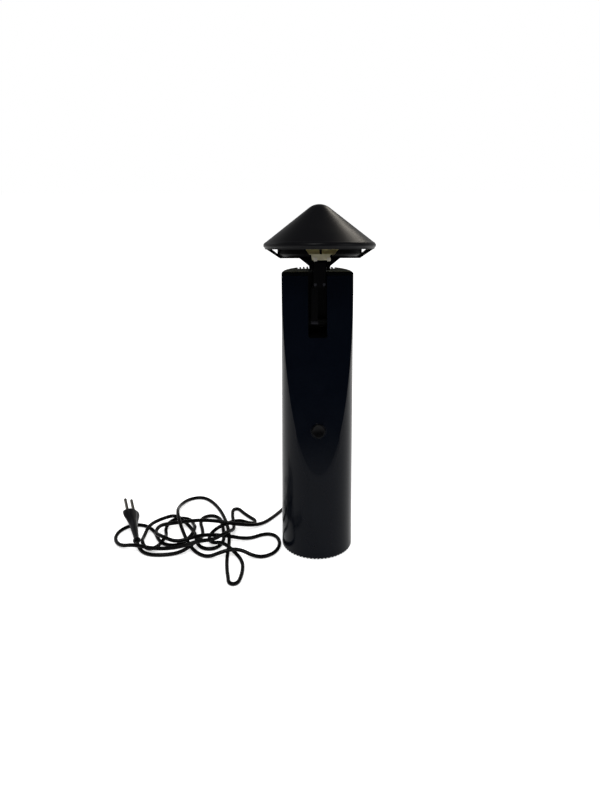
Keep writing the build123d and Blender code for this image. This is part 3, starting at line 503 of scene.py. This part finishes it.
# %% Helper that turns a bmesh into a piece
def finished(name, shape, body, slot, material, *replaced, sharp=35):
    """Make the bmesh a piece in place of solids: it rides on its body, and is shaded smooth but
    for edges that turn more than sharp degrees."""
    for face in shape.faces:
        face.smooth = True
    data = bpy.data.meshes.new(name)
    shape.to_mesh(data)
    shape.free()
    data.set_sharp_from_angle(angle=math.radians(sharp))
    data.materials.append(material)
    piece = bpy.data.objects.new(name, data)
    bpy.context.collection.objects.link(piece)
    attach(piece, body)
    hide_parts(*replaced)
    print(name, len(data.polygons), "faces")
    return piece


# %% Eased copies
SHARP_EDGE = math.radians(38)        # edges that turn more than this get a radius
SMOOTH_BELOW = 40                    # degrees: edges of the copy that turn less are shaded smooth
FLAT_WITHIN = math.radians(0.3)
WELD_MM = 0.002


def eased(node, body, slot, width_mm):
    """A copy of the solid with its sharp edges rounded over, which stands for the solid."""
    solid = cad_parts[node]
    shape = bmesh.new()
    shape.from_mesh(solid.data)
    bmesh.ops.remove_doubles(shape, verts=shape.verts, dist=WELD_MM * MM)
    bmesh.ops.dissolve_limit(shape, angle_limit=FLAT_WITHIN, verts=shape.verts, edges=shape.edges)
    corners = [e for e in shape.edges if e.is_manifold and e.calc_face_angle() > SHARP_EDGE]
    bmesh.ops.bevel(shape, geom=corners, offset=width_mm * MM, affect="EDGES", segments=2, profile=0.5,
                    material=-1, clamp_overlap=True)
    piece = finished("eased_" + node, shape, body, slot, solid.data.materials[0], node, sharp=SMOOTH_BELOW)
    weights = piece.modifiers.new("even shading", "WEIGHTED_NORMAL")
    weights.keep_sharp = True


for node, body, slot, width_mm in (
    ("front_panel", "stand", "black_abs", 0.5),
    ("button_collar", "stand", "black_abs", 0.15),
    ("push_button", "button", "black_abs", 0.12),
    ("slot_well", "stand", "black_nylon", 0.25),
    ("arm_sleeve", "arm", "arm_enamel", 0.3),
    ("arm_bar", "arm", "arm_enamel", 0.3),
    ("tilt_fork", "head", "arm_enamel", 0.4),
    ("yoke_strap", "head", "arm_enamel", 0.35),
    ("lamp_pan", "head", "hat_enamel", 0.25),
):
    eased(node, body, slot, width_mm)

# %% [markdown]
# ## Strain relief
#
# The flex leaves the tube through a soft boot that spreads its bend, so that the conductors don't
# break at the wall. It is moulded rubber: a flange against the wall, then rings that get thinner.
# One profile turned about the flex makes it, since every ring is round.

# %% Profile of the boot: distance from the tube's axis and radius, in millimetres
BOOT_FLANGE = [
    (37.0, 5.0), (39.2, 5.0), (39.3, 6.3), (40.6, 6.4), (41.4, 6.2), (41.9, 5.6), (42.4, 5.5),
]
BOOT_RINGS, RING_PITCH, FIRST_GAP = 6, 3.0, 0.5
RING_LARGE, RING_LOSS = 5.5, 2.2       # radius of the first ring, and what the last one has less
RING_TOP, RING_FALL, RING_FOOT, GROOVE_END = 1.5, 0.25, 1.8, 2.7
GROOVE, THINNEST_WALL = 1.1, 0.35
BOOT_END = 62.0
flex_r = FLEX_D / 2

boot_profile = list(BOOT_FLANGE)
for i in range(BOOT_RINGS):
    along = BOOT_FLANGE[-1][0] + FIRST_GAP + i * RING_PITCH
    outer = RING_LARGE - RING_LOSS * i / (BOOT_RINGS - 1)
    low = max(outer - GROOVE, flex_r + THINNEST_WALL)
    boot_profile += [(along, outer), (along + RING_TOP, outer - RING_FALL),
                     (along + RING_FOOT, low), (along + GROOVE_END, low)]
boot_profile += [(BOOT_END - 0.8, flex_r + 0.6), (BOOT_END, flex_r + 0.25), (BOOT_END, flex_r - 0.1)]
print("boot profile:", len(boot_profile), "points")

# %% Turned boot
BOOT_STEPS = 48
boot_mesh = bmesh.new()
profile = [boot_mesh.verts.new((0, y * MM, r * MM)) for y, r in boot_profile]
for before, after in zip(profile, profile[1:]):
    boot_mesh.edges.new((before, after))
bmesh.ops.spin(boot_mesh, geom=boot_mesh.verts[:] + boot_mesh.edges[:], cent=(0, 0, 0),
               axis=(0, 1, 0), angle=math.tau, steps=BOOT_STEPS, use_merge=True)
bmesh.ops.remove_doubles(boot_mesh, verts=boot_mesh.verts, dist=0.01 * MM)
bmesh.ops.holes_fill(boot_mesh, edges=[e for e in boot_mesh.edges if e.is_boundary], sides=0)
bmesh.ops.recalc_face_normals(boot_mesh, faces=boot_mesh.faces)
bmesh.ops.translate(boot_mesh, vec=(0, 0, FLEX_ROUTE[0][2] * MM), verts=boot_mesh.verts)
strain_relief = finished("strain_relief", boot_mesh, "stand", "black_rubber", rubber, "cord_grommet")

# %% [markdown]
# ## Plug
#
# The plug is PVC moulded over its pins: a flared tail, a long neck and a body that widens to the
# shoulders, round in the middle with flatter wings to hold it by. It is drawn as ellipses along
# its axis, bridged into a skin, whose wings are then pressed flatter, and subdivided.

# %% Where the plug lies: on the last run of the flex, rolled a little
PLUG_ROLL = math.radians(20)
tail, before_tail = Vector(FLEX_ROUTE[-1]) * MM, Vector(FLEX_ROUTE[-2]) * MM
plug_axis = (tail - before_tail).normalized()
plug_across = plug_axis.cross(Vector((0, 0, 1))).normalized()
plug_up = plug_axis.cross(plug_across)
plug_place = Matrix((plug_across, plug_up, plug_axis)).transposed().to_4x4()
plug_place = Matrix.Translation(tail) @ plug_place @ Matrix.Rotation(PLUG_ROLL, 4, "Z")
print("plug's tail at", [round(v, 4) for v in tail], "pointing", [round(v, 3) for v in plug_axis])

# %% Skin of the plug: distance from its tail, half width and half thickness, in millimetres
PLUG_STATIONS = [
    (0.0, 3.4, 3.4), (0.3, 4.4, 4.4), (1.7, 4.5, 4.5), (2.4, 3.5, 3.5), (3.6, 2.9, 2.9), (7, 3.0, 3.0),
    (15, 3.5, 3.4), (23, 4.3, 4.1), (31, 5.2, 4.5), (38, 7.0, 4.9), (44, 9.2, 5.3), (49, 10.4, 5.6),
    (53, 10.5, 5.6), (55.0, 9.9, 5.2), (55.9, 8.6, 4.4),
]
WING_FROM, WING_PRESS, WINGED_PAST = 0.55, 0.8, 1.1     # shares of the half width and half thickness
PLUG_SIDES = 32

plug_mesh = bmesh.new()
rims = []
for along, wide, thick in PLUG_STATIONS:
    made = bmesh.ops.create_circle(plug_mesh, segments=PLUG_SIDES, radius=1)["verts"]
    bmesh.ops.scale(plug_mesh, vec=(wide * MM, thick * MM, 1), verts=made)
    wings = [v for v in made if abs(v.co.x) > WING_FROM * wide * MM and wide > WINGED_PAST * thick]
    bmesh.ops.scale(plug_mesh, vec=(1, WING_PRESS, 1), verts=wings)
    bmesh.ops.translate(plug_mesh, vec=(0, 0, along * MM), verts=made)
    rims.append(list(dict.fromkeys(e for v in made for e in v.link_edges)))
for low, high in zip(rims, rims[1:]):
    bmesh.ops.bridge_loops(plug_mesh, edges=low + high)
for end in (rims[0], rims[-1]):
    bmesh.ops.edgeloop_fill(plug_mesh, edges=end)
bmesh.ops.recalc_face_normals(plug_mesh, faces=plug_mesh.faces)
bmesh.ops.transform(plug_mesh, matrix=plug_place, verts=plug_mesh.verts)
plug_shell = finished("plug_shell", plug_mesh, "stand", "plug_pvc", plug_pvc, "plug_body", "plug_sleeve")
rounding = plug_shell.modifiers.new("rounding", "SUBSURF")
rounding.levels = rounding.render_levels = 2
